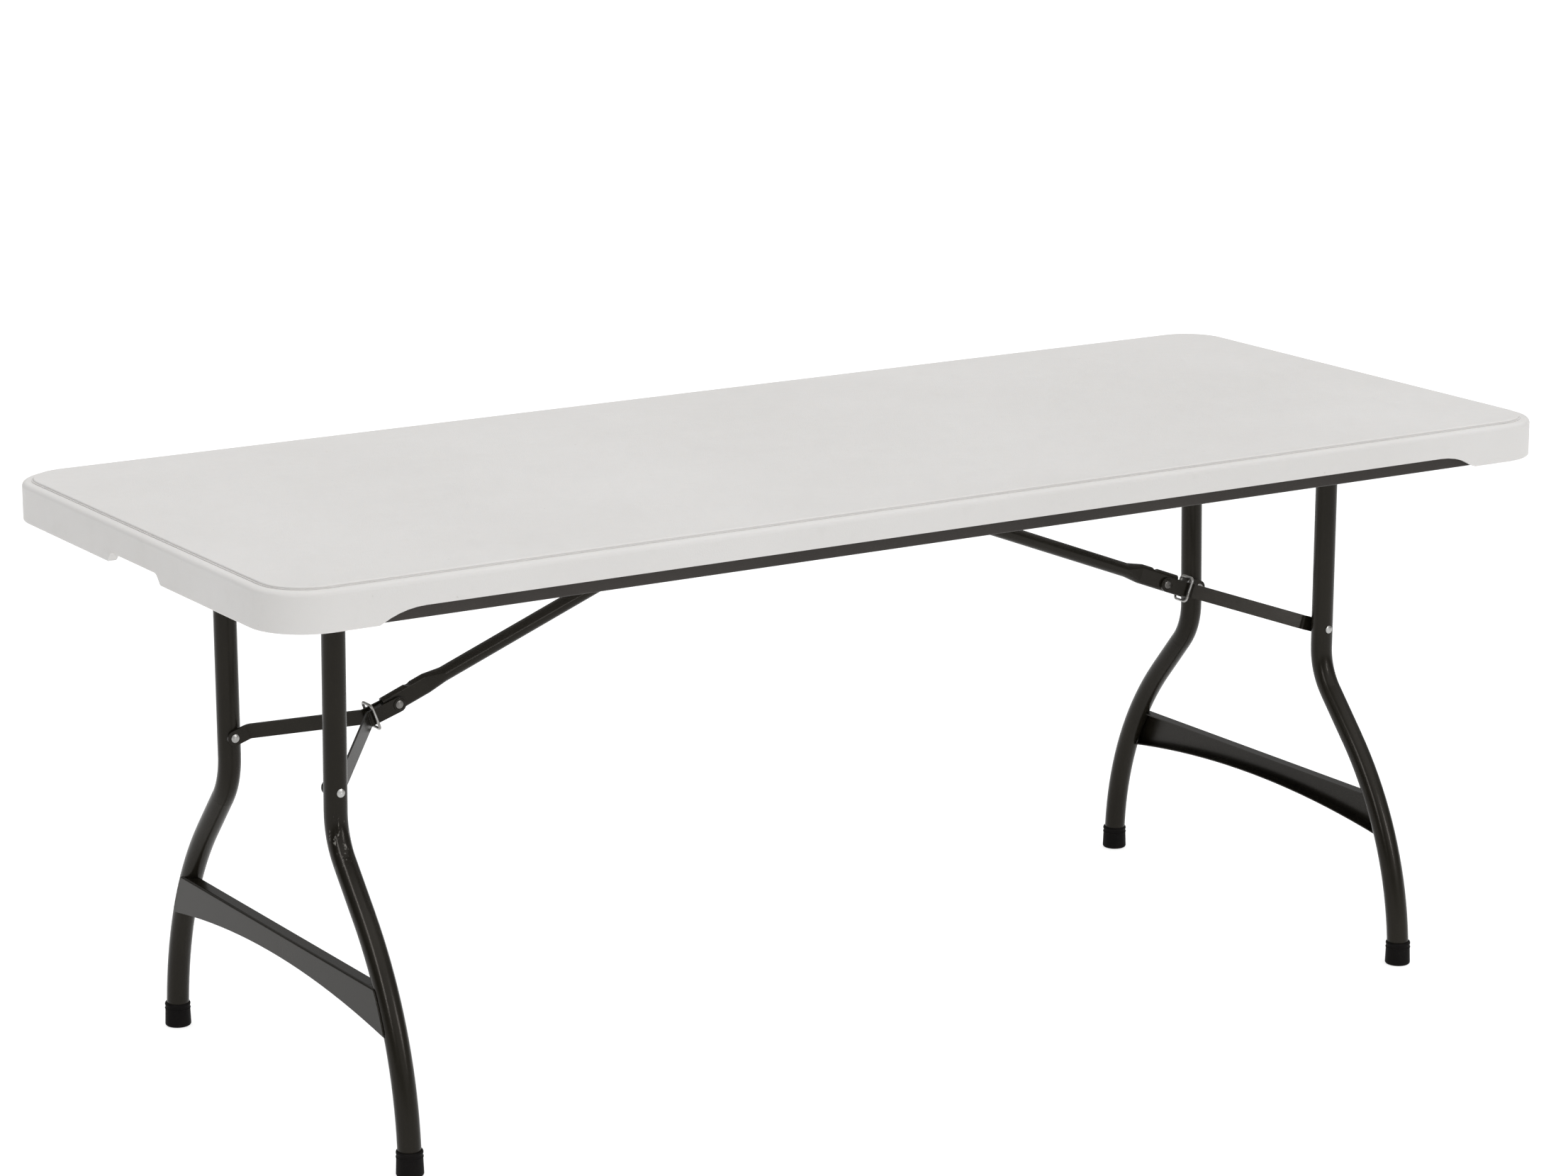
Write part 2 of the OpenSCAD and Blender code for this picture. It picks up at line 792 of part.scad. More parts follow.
// The back strap of the right-hand brace as a bent flat bar with square ends
module strap_bar() {
    end_pad = 2 * strap_h;
    rise = strap_out_y - strap_in_y;
    bend_in = strap_bend_r * tan(strap_splay / 2);
    slope_run = rise / tan(strap_splay);
    slope_len = rise / sin(strap_splay) - 2 * bend_in;
    first = strap_bend_at - bend_in;
    translate([-end_pad, strap_in_y, 0]) flat_bar(end_pad + first);
    translate([first, strap_in_y + strap_bend_r, 0])
        rotate([0, 0, -90]) flat_bend(strap_splay);
    translate([strap_bend_at, strap_in_y, 0])
        rotate([0, 0, strap_splay])
            translate([bend_in, 0, 0])
                flat_bar(slope_len);
    translate([strap_bend_at + slope_run + bend_in, strap_out_y - strap_bend_r, 0])
        rotate([0, 0, 90]) flat_bend(strap_splay);
    translate([strap_bend_at + slope_run + bend_in, strap_out_y, 0]) flat_bar(end_pad);
}

module flat_bar(len) {
    translate([0, -strap_t / 2, -strap_h / 2]) cube([len, strap_t, strap_h]);
}

// A bend in the flat bar, a hair smaller than the straights, whose ends run on into them
module flat_bend(sweep) {
    lap = atan(bend_lap / strap_bend_r);
    rotate([0, 0, -lap])
        translate([0, 0, bend_thinning - strap_h / 2])
            rotate_extrude(angle = sweep + 2 * lap)
                translate([strap_bend_r - strap_t / 2 + bend_thinning, 0])
                    square([strap_t - 2 * bend_thinning, strap_h - 2 * bend_thinning]);
}

// The back strap, with round ends and rivet holes
module strap() {
    color(frame_color)
        at_straps()
            difference() {
                intersection() {
                    strap_bar();
                    union() {
                        translate([0, -through, -strap_h / 2])
                            cube([strap_len, 2 * through, strap_h]);
                        for (x = [0, strap_len])
                            translate([x, -through, 0])
                                rotate([-90, 0, 0])
                                    cylinder(h = 2 * through, r = strap_h / 2);
                    }
                }
                for (x = [0, strap_len])
                    translate([x, -1, 0])
                        rotate([-90, 0, 0])
                            cylinder(h = through, r = strap_hole_r);
            }
}

// The straps' own rivet heads and shanks at the legs
module strap_rivets() {
    color(zinc_color)
        at_straps()
            both_y()
                translate([strap_len, strap_out_y + strap_t / 2, 0])
                    rotate([90, 0, 0]) {
                        cylinder(h = strap_t + 0.1, r = rivet_r);
                        translate([0, 0, strap_t]) dome_head(rivet_head_r, rivet_head_h);
                    }
}

// The lock ring, drawn as a top half and the same half turned over
module lock_ring() {
    half = ring_in_y + ring_r;
    low = ring_in_low - ring_r;
    high = ring_in_high + ring_r;
    span_y = half - ring_corner_r;
    span_z = (high - low) / 2 - ring_corner_r;
    run_on = lap(ring_corner_r);
    color(zinc_color)
        at_brace()
            translate([brace_len + ring_at, 0, (high + low) / 2])
                for (a = [0, 180])
                    rotate([a, 0, 0]) {
                        yz_bar([half, -span_z], [half, span_z], ring_r);
                        yz_bar([-span_y, span_z + ring_corner_r],
                            [span_y, span_z + ring_corner_r], ring_r);
                        yz_bend([span_y, span_z], ring_corner_r, -run_on, 90 + run_on, ring_r);
                        yz_bend([-span_y, span_z], ring_corner_r, 90 - run_on, 180 + run_on, ring_r);
                    }
}

// ---------- nodes ----------

module left() {
    mirror([1, 0, 0]) children();
}

module front() {
    mirror([0, 1, 0]) children();
}

tabletop();
side_rail();  // side_rail_front
front() side_rail();  // side_rail_back
rail_screws();
brace_anchor();
anchor_screws();
left() brace_pin();  // brace_pin_left
brace_pin();  // brace_pin_right
left() pivot_block();  // pivot_block_left_front
left() front() pivot_block();  // pivot_block_left_back
pivot_block();  // pivot_block_right_front
front() pivot_block();  // pivot_block_right_back
left() pivot_tube();  // pivot_tube_left
left() front() leg();  // leg_left_front
left() leg();  // leg_left_back
left() spreader();  // spreader_left
left() front() foot_cap();  // foot_cap_left_front
left() foot_cap();  // foot_cap_left_back
left() leg_rivets();  // leg_rivets_left
pivot_tube();  // pivot_tube_right
front() leg();  // leg_right_front
leg();  // leg_right_back
spreader();  // spreader_right
front() foot_cap();  // foot_cap_right_front
foot_cap();  // foot_cap_right_back
leg_rivets();  // leg_rivets_right
left() brace_tube();  // brace_tube_left
left() knee_rivet();  // knee_rivet_left
left() front() strap();  // strap_left_front
left() strap();  // strap_left_back
left() strap_rivets();  // strap_rivets_left
left() lock_ring();  // lock_ring_left
brace_tube();  // brace_tube_right
knee_rivet();  // knee_rivet_right
front() strap();  // strap_right_front
strap();  // strap_right_back
strap_rivets();  // strap_rivets_right
lock_ring();  // lock_ring_right
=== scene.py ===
import json
import math

import bmesh
import bpy
from mathutils import Matrix, Vector


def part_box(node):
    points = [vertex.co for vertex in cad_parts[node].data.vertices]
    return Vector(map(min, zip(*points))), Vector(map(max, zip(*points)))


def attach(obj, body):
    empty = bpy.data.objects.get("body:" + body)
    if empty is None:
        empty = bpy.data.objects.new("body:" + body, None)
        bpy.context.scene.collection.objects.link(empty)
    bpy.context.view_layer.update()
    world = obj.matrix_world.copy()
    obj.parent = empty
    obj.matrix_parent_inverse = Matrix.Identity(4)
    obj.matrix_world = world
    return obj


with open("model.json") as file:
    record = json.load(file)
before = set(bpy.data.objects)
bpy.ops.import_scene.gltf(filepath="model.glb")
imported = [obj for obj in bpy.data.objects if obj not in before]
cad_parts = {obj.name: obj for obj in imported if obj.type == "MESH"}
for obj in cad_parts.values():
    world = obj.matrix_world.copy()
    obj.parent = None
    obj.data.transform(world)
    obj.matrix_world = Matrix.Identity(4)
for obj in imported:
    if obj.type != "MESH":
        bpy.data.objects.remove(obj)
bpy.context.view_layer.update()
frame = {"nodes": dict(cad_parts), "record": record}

# ---------- camera and materials -------------

scene = bpy.context.scene
scene.view_settings.view_transform = "Standard"

camera_data = bpy.data.cameras.new("camera")
camera_data.sensor_width = 36.0
camera_data.lens = 106.249
camera = bpy.data.objects.new("camera", camera_data)
scene.collection.objects.link(camera)
camera.matrix_world = (
    Matrix.Translation((-3.04990, -4.84131, 1.91743))
    @ Matrix.Rotation(math.radians(-32.0167), 4, "Z")
    @ Matrix.Rotation(math.radians(90 - 13.524), 4, "X")
    @ Matrix.Rotation(math.radians(-0.119), 4, "Z")
)
scene.camera = camera


def material(name):
    """A new node material, its tree and its surface shader."""
    made = bpy.data.materials.new(name)
    made.use_nodes = True
    tree = made.node_tree
    return made, tree, tree.nodes["Principled BSDF"]


def node(tree, kind, inputs=(), **settings):
    """Adds a node. inputs are (socket, value) pairs, and a value may be another node's output."""
    made = tree.nodes.new("ShaderNode" + kind)
    for name, value in settings.items():
        setattr(made, name, value)
    for socket, value in inputs:
        if isinstance(value, bpy.types.NodeSocket):
            tree.links.new(value, made.inputs[socket])
        else:
            made.inputs[socket].default_value = value
    return made


def noise(tree, where, scale, detail=4.0, rough=0.55, stretch=None):
    """A noise texture's factor over the object's own coordinates, stretched if asked."""
    if stretch:
        where = node(tree, "Mapping", [("Vector", where), ("Scale", stretch)]).outputs[0]
    made = node(
        tree,
        "TexNoise",
        [("Vector", where), ("Scale", scale), ("Detail", detail), ("Roughness", rough)],
    )
    return made.outputs["Fac"]


def ramp(tree, value, low, high, to_low=0.0, to_high=1.0):
    """Maps a value's range to another, clamped."""
    made = node(
        tree,
        "MapRange",
        [("Value", value), ("From Min", low), ("From Max", high), ("To Min", to_low), ("To Max", to_high)],
    )
    return made.outputs[0]


def mixed(tree, share, first, second):
    """Mixes two colours, each a colour or an output."""
    made = node(tree, "Mix", [(0, share), (6, first), (7, second)], data_type="RGBA")
    return made.outputs[2]


def bump(tree, height, strength, distance, normal=None):
    """A bump from a height, on top of another normal if one is given."""
    inputs = [("Height", height), ("Strength", strength), ("Distance", distance)]
    if normal:
        inputs.append(("Normal", normal))
    return node(tree, "Bump", inputs).outputs[0]


def object_coords(tree):
    """The object's own coordinates, in metres."""
    return node(tree, "TexCoord").outputs["Object"]


def math_node(tree, operation, first, second=0.0):
    """The result of one sum on two values, each a number or an output."""
    return node(tree, "Math", [(0, first), (1, second)], operation=operation).outputs[0]


def plastic_top():
    """Blow-moulded polyethylene: off-white, leather grain, slow sink waves, clouds and faint scuffs."""
    made, tree, shader = material("top_plastic")
    where = object_coords(tree)
    cloud = noise(tree, where, 2.3, 3.0)
    mottle = noise(tree, where, 40.0, 5.0)
    base = mixed(tree, ramp(tree, cloud, 0.35, 0.65), (0.636, 0.623, 0.608, 1), (0.666, 0.654, 0.641, 1))
    base = mixed(tree, ramp(tree, mottle, 0.60, 0.8, 0.0, 0.30), base, (0.585, 0.575, 0.555, 1))
    scuff = noise(tree, where, 9.0, 8.0, 0.7, (1.0, 14.0, 1.0))
    base = mixed(tree, ramp(tree, scuff, 0.71, 0.79, 0.0, 0.14), base, (0.53, 0.52, 0.50, 1))
    speck = noise(tree, where, 160.0, 2.0, 0.4)
    base = mixed(tree, ramp(tree, speck, 0.76, 0.80, 0.0, 0.35), base, (0.45, 0.43, 0.40, 1))
    tree.links.new(base, shader.inputs["Base Color"])
    tree.links.new(ramp(tree, mottle, 0.3, 0.7, 0.44, 0.58), shader.inputs["Roughness"])
    grain = noise(tree, where, 900.0, 2.0, 0.5)
    pebble = node(tree, "TexVoronoi", [("Vector", where), ("Scale", 520.0)]).outputs["Distance"]
    wave = noise(tree, where, 6.0, 1.0)
    normal = bump(tree, wave, 0.3, 0.004)
    normal = bump(tree, pebble, 0.16, 0.0006, normal)
    normal = bump(tree, grain, 0.12, 0.0004, normal)
    tree.links.new(normal, shader.inputs["Normal"])
    shader.inputs["Specular IOR Level"].default_value = 0.3
    shader.inputs["Subsurface Weight"].default_value = 0.06
    shader.inputs["Subsurface Radius"].default_value = (0.006, 0.005, 0.004)
    shader.inputs["Subsurface Scale"].default_value = 1.0
    return made


def near(tree, where, spot, reach):
    """1 at a spot of the object, falling to 0 at the given reach."""
    away = node(tree, "VectorMath", [(0, where), (1, spot)], operation="DISTANCE").outputs["Value"]
    return ramp(tree, away, 0.25 * reach, reach, 1.0, 0.0)


def painted_steel(name, dark, light, rough_low, rough_high, worn=None):
    """Powder-coated steel: orange peel, slow tone changes, fine scratches, and chips where worn.

    worn is a spot on the object and how far the chips reach from it, in metres.
    """
    made, tree, shader = material(name)
    where = object_coords(tree)
    cloud = noise(tree, where, 7.0, 4.0)
    speck = noise(tree, where, 420.0, 3.0)
    brighter = tuple(1.35 * c for c in light[:3]) + (1,)
    base = mixed(tree, ramp(tree, cloud, 0.3, 0.7), dark, light)
    base = mixed(tree, ramp(tree, speck, 0.6, 0.75, 0.0, 0.4), base, brighter)
    scratch = noise(tree, where, 60.0, 6.0, 0.7, (1.0, 1.0, 0.12))
    base = mixed(tree, ramp(tree, scratch, 0.72, 0.8, 0.0, 0.4), base, (0.11, 0.105, 0.10, 1))
    if worn:
        chip = noise(tree, where, 210.0, 3.0, 0.6, (1.0, 1.0, 0.35))
        chipped = math_node(tree, "MULTIPLY", ramp(tree, chip, 0.60, 0.66), near(tree, where, *worn))
        base = mixed(tree, chipped, base, (0.24, 0.23, 0.21, 1))
    tree.links.new(base, shader.inputs["Base Color"])
    tree.links.new(ramp(tree, cloud, 0.3, 0.7, rough_low, rough_high), shader.inputs["Roughness"])
    peel = noise(tree, where, 700.0, 2.0, 0.5)
    tree.links.new(bump(tree, peel, 0.12, 0.0005), shader.inputs["Normal"])
    shader.inputs["Specular IOR Level"].default_value = 0.15
    shader.inputs["Specular Tint"].default_value = (1.0, 0.93, 0.86, 1)
    shader.inputs["Coat Weight"].default_value = 0.04
    shader.inputs["Coat Roughness"].default_value = 0.25
    return made


def black_plastic():
    """Moulded black plastic: a fine grain and a little dust."""
    made, tree, shader = material("black_plastic")
    where = object_coords(tree)
    cloud = noise(tree, where, 30.0, 5.0)
    base = mixed(tree, ramp(tree, cloud, 0.3, 0.7), (0.0035, 0.003, 0.003, 1), (0.007, 0.006, 0.0055, 1))
    dust = noise(tree, where, 260.0, 4.0, 0.6)
    base = mixed(tree, ramp(tree, dust, 0.64, 0.8, 0.0, 0.2), base, (0.06, 0.055, 0.05, 1))
    tree.links.new(base, shader.inputs["Base Color"])
    tree.links.new(ramp(tree, cloud, 0.3, 0.7, 0.5, 0.68), shader.inputs["Roughness"])
    grain = noise(tree, where, 1300.0, 2.0, 0.5)
    tree.links.new(bump(tree, grain, 0.2, 0.0004), shader.inputs["Normal"])
    shader.inputs["Specular IOR Level"].default_value = 0.06
    return made


def zinc_steel(name, dark, light):
    """Plated steel: slow tone changes, stains and drawing marks."""
    made, tree, shader = material(name)
    where = object_coords(tree)
    cloud = noise(tree, where, 90.0, 4.0)
    base = mixed(tree, ramp(tree, cloud, 0.3, 0.7), dark, light)
    stain = noise(tree, where, 380.0, 4.0, 0.6)
    base = mixed(tree, ramp(tree, stain, 0.6, 0.75, 0.0, 0.5), base, tuple(0.8 * c for c in dark[:3]) + (1,))
    tree.links.new(base, shader.inputs["Base Color"])
    tree.links.new(ramp(tree, cloud, 0.3, 0.7, 0.26, 0.42), shader.inputs["Roughness"])
    shader.inputs["Metallic"].default_value = 1.0
    drawn = noise(tree, where, 900.0, 3.0, 0.6)
    tree.links.new(bump(tree, drawn, 0.15, 0.0003), shader.inputs["Normal"])
    return made


def floor_paint():
    """A pale studio floor. It gives off light of its own too, so that it stays white under the table."""
    made, tree, shader = material("floor_paint")
    where = object_coords(tree)
    cloud = noise(tree, where, 0.6, 3.0)
    base = mixed(tree, ramp(tree, cloud, 0.3, 0.7), (0.41, 0.41, 0.409, 1), (0.43, 0.43, 0.429, 1))
    tree.links.new(base, shader.inputs["Base Color"])
    shader.inputs["Roughness"].default_value = 0.9
    shader.inputs["Specular IOR Level"].default_value = 0.1
    shader.inputs["Emission Color"].default_value = (1, 1, 1, 1)
    shader.inputs["Emission Strength"].default_value = 0.74
    return made


TOP = plastic_top()
FRAME_DARK = (0.0082, 0.0072, 0.0050, 1)
FRAME_LIGHT = (0.0140, 0.0124, 0.0092, 1)
FRAME = painted_steel("frame_steel", FRAME_DARK, FRAME_LIGHT, 0.21, 0.28)
WORN_LEG = painted_steel(
    "frame_steel_worn", FRAME_DARK, FRAME_LIGHT, 0.21, 0.28, worn=((-0.742, -0.158, 0.362), 0.035)
)
RAIL = painted_steel("rail_steel", (0.034, 0.031, 0.029, 1), (0.045, 0.041, 0.038, 1), 0.42, 0.54)
BLACK = black_plastic()
BRIGHT_ZINC = zinc_steel("zinc_steel", (0.26, 0.25, 0.235, 1), (0.46, 0.46, 0.45, 1))
DULL_ZINC = zinc_steel("zinc_steel_dull", (0.09, 0.085, 0.08, 1), (0.20, 0.195, 0.185, 1))


def dress(obj, look):
    """Gives an object one material in place of any it has."""
    obj.data.materials.clear()
    obj.data.materials.append(look)


slot_looks = {
    "top_plastic": TOP,
    "frame_steel": FRAME,
    "rail_steel": RAIL,
    "black_plastic": BLACK,
    "zinc_steel": BRIGHT_ZINC,
}
for part in frame["record"]["subparts"]:
    dress(frame["nodes"][part["node"]], slot_looks[part["material_slot"]])
dress(frame["nodes"]["leg_left_front"], WORN_LEG)
for side in ("left", "right"):
    dress(frame["nodes"]["knee_rivet_" + side], DULL_ZINC)


# ---------- detail pieces ----------

RECORD = frame["record"]
LEG_R = 0.01425
PIVOT_TUBE_R = 0.011
# the legs' plane stands this far outside the cross tube's axis and leans by this angle
LEG_OUT = 0.010
LEG_LEAN = math.radians(0.29)
# the lower bend of a leg's centre line, seen along x: radius and centre
BEND_R = 0.4247
BEND_CENTRE_Y = 0.318 - BEND_R
BEND_CENTRE_Z = 0.005
# the spreader: straight upper edge, arch and crown of the lower edge, sheet, fold radius and start
SPREADER_TOP = 0.214
ARCH_R = 1.780
ARCH_CROWN = 0.184
SHEET = 0.0015
FOLD_R = 0.003
FOLD_START_X = 0.01285


def new_piece(name, bm, look, body, smooth=True):
    """Turns a bmesh into a piece that rides on a CAD body."""
    mesh = bpy.data.meshes.new(name)
    bmesh.ops.recalc_face_normals(bm, faces=bm.faces)
    bm.to_mesh(mesh)
    bm.free()
    obj = bpy.data.objects.new(name, mesh)
    scene.collection.objects.link(obj)
    for face in mesh.polygons:
        face.use_smooth = smooth
    dress(obj, look)
    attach(obj, body)
    return obj


def bead(bm, points, radius):
    """A weld bead: a tube along the points whose radius swells and shrinks, closed at its ends."""
    around, ripple, ripple_step = 8, 0.18, 2.1
    rings = []
    for i, point in enumerate(points):
        before, after = points[max(i - 1, 0)], points[min(i + 1, len(points) - 1)]
        along = (after - before).normalized()
        across = along.orthogonal().normalized()
        other = along.cross(across)
        end = 0.45 if i in (0, len(points) - 1) else 1.0
        r = radius * end * (1 + ripple * math.sin(i * ripple_step))
        ring = []
        for k in range(around):
            angle = 2 * math.pi * k / around
            ring.append(bm.verts.new(point + r * (math.cos(angle) * across + math.sin(angle) * other)))
        rings.append(ring)
    for first, second in zip(rings, rings[1:]):
        # the second ring may be turned: start it at the vertex nearest the first one's start
        shift = min(range(around), key=lambda k: (second[k].co - first[0].co).length)
        for k in range(around):
            a, b = first[k], first[(k + 1) % around]
            c, d = second[(k + 1 + shift) % around], second[(k + shift) % around]
            bm.faces.new((a, b, c, d))
        rings[rings.index(second)] = second[shift:] + second[:shift]
    bm.faces.new(rings[0])
    bm.faces.new(rings[-1])


def lathe(bm, profile, centre, axis, steps=32):
    """Turns (radius, height) points about an axis through a centre. The profile is closed."""
    axis = Vector(axis).normalized()
    across = axis.orthogonal().normalized()
    other = axis.cross(across)
    rings = []
    for r, h in profile:
        ring = []
        for k in range(steps):
            angle = 2 * math.pi * k / steps
            outward = math.cos(angle) * across + math.sin(angle) * other
            ring.append(bm.verts.new(centre + h * axis + r * outward))
        rings.append(ring)
    for i, first in enumerate(rings):
        second = rings[(i + 1) % len(rings)]
        for k in range(steps):
            bm.faces.new((first[k], first[(k + 1) % steps], second[(k + 1) % steps], second[k]))


def place_name(stem, side, y_side):
    """A piece's name with its end and its long side, such as foot_cap_left_front."""
    return "%s_%s_%s" % (stem, side, "back" if y_side > 0 else "front")


def joint_pos(name):
    """Where a joint of the record stands, in metres."""
    return next(Vector(j["pos_m"]) for j in RECORD["behaviour"]["joints"] if j["name"] == name)


def corner_weld(side, y_side):
    """The weld between a leg's coped top and the cross tube."""
    pivot = joint_pos("leg_fold_" + side)
    sign = 1 if side == "right" else -1
    leg_y = 0.1486 * y_side
    points = []
    for i in range(25):
        angle = math.radians(92 + 176 * i / 24)
        out = LEG_OUT + LEG_R * math.cos(angle)
        if abs(out) > PIVOT_TUBE_R:
            continue
        drop = math.sqrt(PIVOT_TUBE_R * PIVOT_TUBE_R - out * out)
        points.append(Vector((pivot.x + sign * out, leg_y + LEG_R * math.sin(angle), pivot.z - drop)))
    bm = bmesh.new()
    bead(bm, points, 0.0019)
    new_piece(place_name("weld_pivot", side, y_side), bm, FRAME, "leg_frame_" + side)


def leg_frame_point(side, x, y, z):
    """A point drawn round the legs' axis, as the CAD draws it, moved to where it stands in the frame."""
    pivot = joint_pos("leg_fold_" + side)
    sign = 1 if side == "right" else -1
    drop = z - pivot.z
    leg_x = abs(pivot.x) + LEG_OUT
    return Vector((
        sign * (leg_x + x * math.cos(LEG_LEAN) - drop * math.sin(LEG_LEAN)),
        y,
        pivot.z + drop * math.cos(LEG_LEAN) + x * math.sin(LEG_LEAN),
    ))


def bend_y(radius, z):
    """How far out a circle round the lower bend's centre is at a height."""
    return BEND_CENTRE_Y + math.sqrt(radius**2 - (z - BEND_CENTRE_Z) ** 2)


def spreader_weld(side, y_side):
    """The bead down each end of the spreader's face, where it lies against the leg."""
    low, high, steps = 0.164, 0.2125, 16
    points = []
    for i in range(steps + 1):
        z = low + (high - low) * i / steps
        points.append(leg_frame_point(side, 0.0148, bend_y(BEND_R - 0.0004, z) * y_side, z))
    bm = bmesh.new()
    bead(bm, points, 0.0012)
    new_piece(place_name("weld_spreader", side, y_side), bm, FRAME, "leg_frame_" + side)


def arch_level(y):
    """The height of the spreader's arched lower edge, as drawn round the legs' axis."""
    return ARCH_CROWN - ARCH_R + math.sqrt(ARCH_R**2 - y * y)


def flange_end(side, y_side, edge):
    """The end of a spreader flange, coped to the leg's round side."""
    outer_x, steps = 0.0142, 12
    leg_y = 0.29  # near enough to the leg to give the arch's height there
    bm = bmesh.new()
    rows = []
    for i in range(steps + 1):
        x = outer_x * i / steps
        sink = 0.0001 + FOLD_R - math.sqrt(FOLD_R**2 - max(0.0, x - FOLD_START_X) ** 2)
        row = []
        for reach in (BEND_R - LEG_R - 0.0007, BEND_R - math.sqrt(LEG_R**2 - x * x) + 0.0004):
            z = SPREADER_TOP - sink
            y = bend_y(reach, z)
            if edge == "low":
                y = bend_y(reach, arch_level(leg_y))
                z = arch_level(y) + sink
            other = z - SHEET if edge == "top" else z + SHEET
            row.append(bm.verts.new(leg_frame_point(side, x, y * y_side, z)))
            row.append(bm.verts.new(leg_frame_point(side, x, y * y_side, other)))
        rows.append([row[0], row[2], row[3], row[1]])
    for first, second in zip(rows, rows[1:]):
        for k in range(4):
            bm.faces.new((first[k], first[(k + 1) % 4], second[(k + 1) % 4], second[k]))
    bm.faces.new(rows[0])
    bm.faces.new(rows[-1])
    name = place_name("flange_end_" + edge, side, y_side)
    new_piece(name, bm, FRAME, "leg_frame_" + side, smooth=False)


def knee_washer(side, y_side):
    """The dark pressed boss round the knee rivet's head, on the strap's outer face."""
    knee = joint_pos("strap_turn_" + side)
    bm = bmesh.new()
    profile = [
        (0.0033, 0),
        (0.0033, 0.00015),
        (0.0052, 0.00015),
        (0.0056, 0.0007),
        (0.0072, 0.0008),
        (0.0079, 0.0005),
        (0.0082, 0),
    ]
    lathe(bm, profile, Vector((knee.x, 0.0088 * y_side, knee.z)), (0, y_side, 0))
    new_piece(place_name("knee_boss", side, y_side), bm, FRAME, "straps_" + side)


def cap_trim(side, y_side):
    """The rolled lip at the top of a foot cap and the thin bead under it."""
    low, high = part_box(place_name("foot_cap", side, y_side))
    centre = (low + high) / 2
    bm = bmesh.new()
    for z, r, h in ((high.z - 0.0044, 0.01555, 0.0042), (high.z - 0.0085, 0.01575, 0.0016)):
        profile = [
            (r - 0.0012, 0),
            (r + 0.0001, 0.1 * h),
            (r + 0.0006, 0.3 * h),
            (r + 0.0006, 0.7 * h),
            (r + 0.0001, 0.9 * h),
            (r - 0.0012, h),
        ]
        lathe(bm, profile, Vector((centre.x, centre.y, z)), (0, 0, 1), 48)
    new_piece(place_name("cap_lip", side, y_side), bm, BLACK, "leg_frame_" + side)


def kiss_off_skin():
    """The underside: rows of round dents where the lower skin is pressed up to the upper one."""
    pitch_x, pitch_y = 0.0640, 0.0660
    face_z, dent_z, edge_z = 0.7063, 0.7087, 0.70895
    columns, rows, steps = 25, 10, 16
    dent = ((0.0155, face_z), (0.0142, face_z + 0.0003), (0.0100, dent_z - 0.0004), (0.0085, dent_z))
    bm = bmesh.new()
    for i in range(columns):
        for j in range(rows):
            x = (i - (columns - 1) / 2) * pitch_x
            y = (j - (rows - 1) / 2) * pitch_y
            if abs(x) < 0.09 and abs(y) < 0.06:  # the centre bracket's place
                continue
            square, mouth = [], []
            for k in range(steps):
                angle = 2 * math.pi * (k + 0.5) / steps
                c, s = math.cos(angle), math.sin(angle)
                reach = min(pitch_x / 2 / max(abs(c), 1e-6), pitch_y / 2 / max(abs(s), 1e-6))
                square.append(bm.verts.new((x + reach * c, y + reach * s, face_z)))
                mouth.append([
                    bm.verts.new((x + r * c, y + r * s, z))
                    for r, z in dent
                ])
            for k in range(steps):
                n = (k + 1) % steps
                bm.faces.new((square[k], square[n], mouth[n][0], mouth[k][0]))
                for m in range(3):
                    bm.faces.new((mouth[k][m], mouth[n][m], mouth[n][m + 1], mouth[k][m + 1]))
            bm.faces.new([ring[3] for ring in mouth])
            for sx in (-1, 1):
                for sy in (-1, 1):
                    corner = bm.verts.new((x + sx * pitch_x / 2, y + sy * pitch_y / 2, face_z))
                    nearest = sorted(square, key=lambda v: (v.co - corner.co).length)[:2]
                    bm.faces.new((corner, nearest[0], nearest[1]))
    bmesh.ops.remove_doubles(bm, verts=bm.verts, dist=1e-5)
    rim = [e for e in bm.edges if e.is_boundary]
    raised = bmesh.ops.extrude_edge_only(bm, edges=rim)["geom"]
    for v in raised:
        if isinstance(v, bmesh.types.BMVert):
            v.co.z = edge_z
    new_piece("underside_skin", bm, TOP, "top", smooth=False)


for side in ("left", "right"):
    for y_side in (-1, 1):
        corner_weld(side, y_side)
        spreader_weld(side, y_side)
        flange_end(side, y_side, "top")
        flange_end(side, y_side, "low")
        knee_washer(side, y_side)
        cap_trim(side, y_side)
kiss_off_skin()


# ---------- floor, sky and lamps ----------


def make_floor():
    """A pale floor that runs on far behind the table."""
    mesh = bpy.data.meshes.new("floor")
    bm = bmesh.new()
    size, floor_z = 40.0, -0.0002
    corners = ((-size, -size), (size, -size), (size, size), (-size, size))
    bm.faces.new([bm.verts.new((x, y, floor_z)) for x, y in corners])
    bm.to_mesh(mesh)
    bm.free()
    obj = bpy.data.objects.new("floor", mesh)
    scene.collection.objects.link(obj)
    dress(obj, floor_paint())


make_floor()


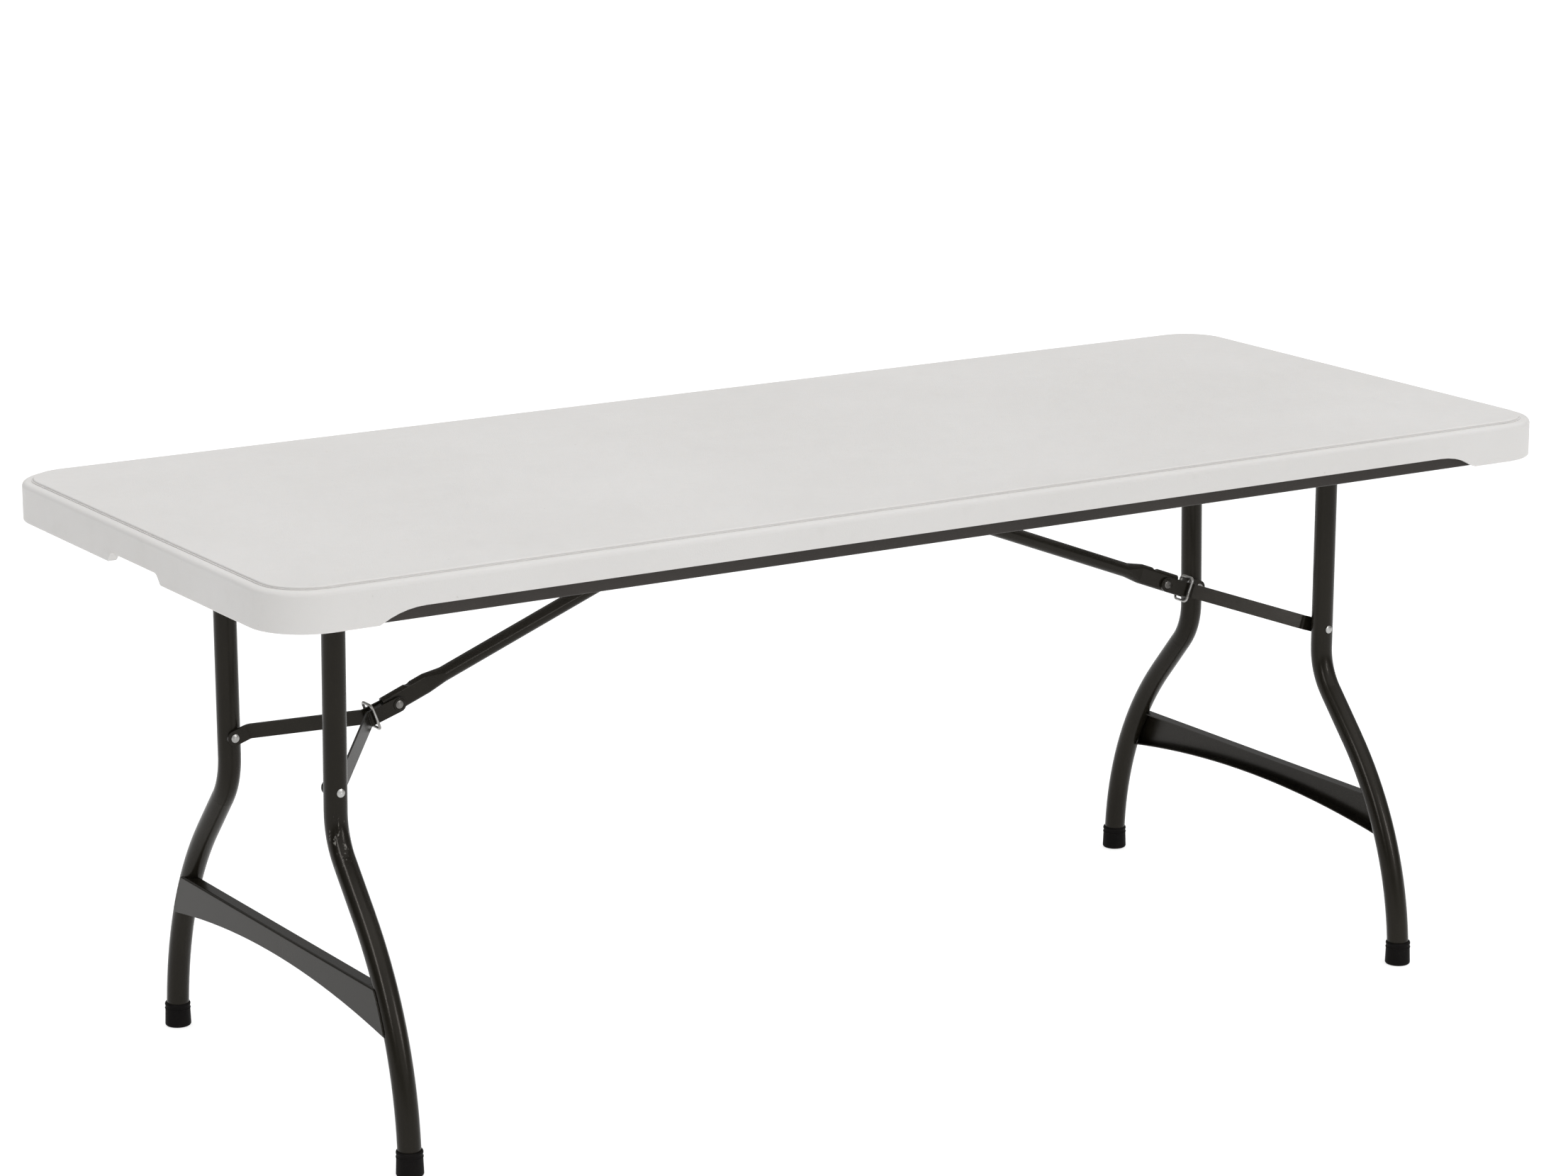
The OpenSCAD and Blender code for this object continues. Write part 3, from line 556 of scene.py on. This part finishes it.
def streak_light(name, start, end, aim, width, power):
    """A thin bar of light between two points, facing a third. It only adds highlights, not fill."""
    start, end, aim = Vector(start), Vector(end), Vector(aim)
    middle = (start + end) / 2
    data = bpy.data.lights.new(name, "AREA")
    data.shape = "RECTANGLE"
    data.size, data.size_y = width, (end - start).length
    data.energy = power
    obj = bpy.data.objects.new(name, data)
    scene.collection.objects.link(obj)
    along = (end - start).normalized()
    across = along.cross(middle - aim).normalized()
    axes = Matrix((across, along, across.cross(along))).transposed()
    obj.matrix_world = Matrix.Translation(middle) @ axes.to_4x4()
    obj.visible_diffuse = False
    obj.visible_camera = False


def studio_world():
    """A soft sky: bright overhead, darker at the horizon, and darkest there on the left."""
    world = bpy.data.worlds.new("world")
    scene.world = world
    world.use_nodes = True
    tree = world.node_tree
    axes = node(tree, "SeparateXYZ", [(0, node(tree, "TexCoord").outputs["Generated"])]).outputs
    up = math_node(tree, "MAXIMUM", axes[2], 0.0)
    zenith = math_node(tree, "MULTIPLY", math_node(tree, "MULTIPLY", up, up), 1.62)
    leftward = math_node(tree, "MAXIMUM", math_node(tree, "MULTIPLY", axes[0], -1.0), 0.0)
    level = math_node(tree, "ADD", zenith, 0.24)
    level = math_node(tree, "SUBTRACT", level, math_node(tree, "MULTIPLY", leftward, 0.2))
    tree.links.new(level, tree.nodes["Background"].inputs["Strength"])
    tree.nodes["Background"].inputs["Color"].default_value = (1, 1, 1, 1)


def soft_sun(direction, spread_deg, strength):
    """A sun with a wide disc, for light with hardly any shadow."""
    data = bpy.data.lights.new("sun", "SUN")
    data.angle = math.radians(spread_deg)
    data.energy = strength
    obj = bpy.data.objects.new("sun", data)
    scene.collection.objects.link(obj)
    obj.rotation_euler = Vector(direction).to_track_quat("-Z", "Y").to_euler()


studio_world()
soft_sun((-0.1, 1.0, -0.8), 70, 0.66)
streak_light("strip_left", (-3.0, -1.0, 3.5), (-3.5, -2.9, 1.6), (-0.735, -0.27, 0.25), 0.16, 60)
streak_light("strip_front", (0.7, -3.45, 2.2), (1.2, -3.66, 1.2), (-0.735, -0.31, 0.17), 0.16, 25)
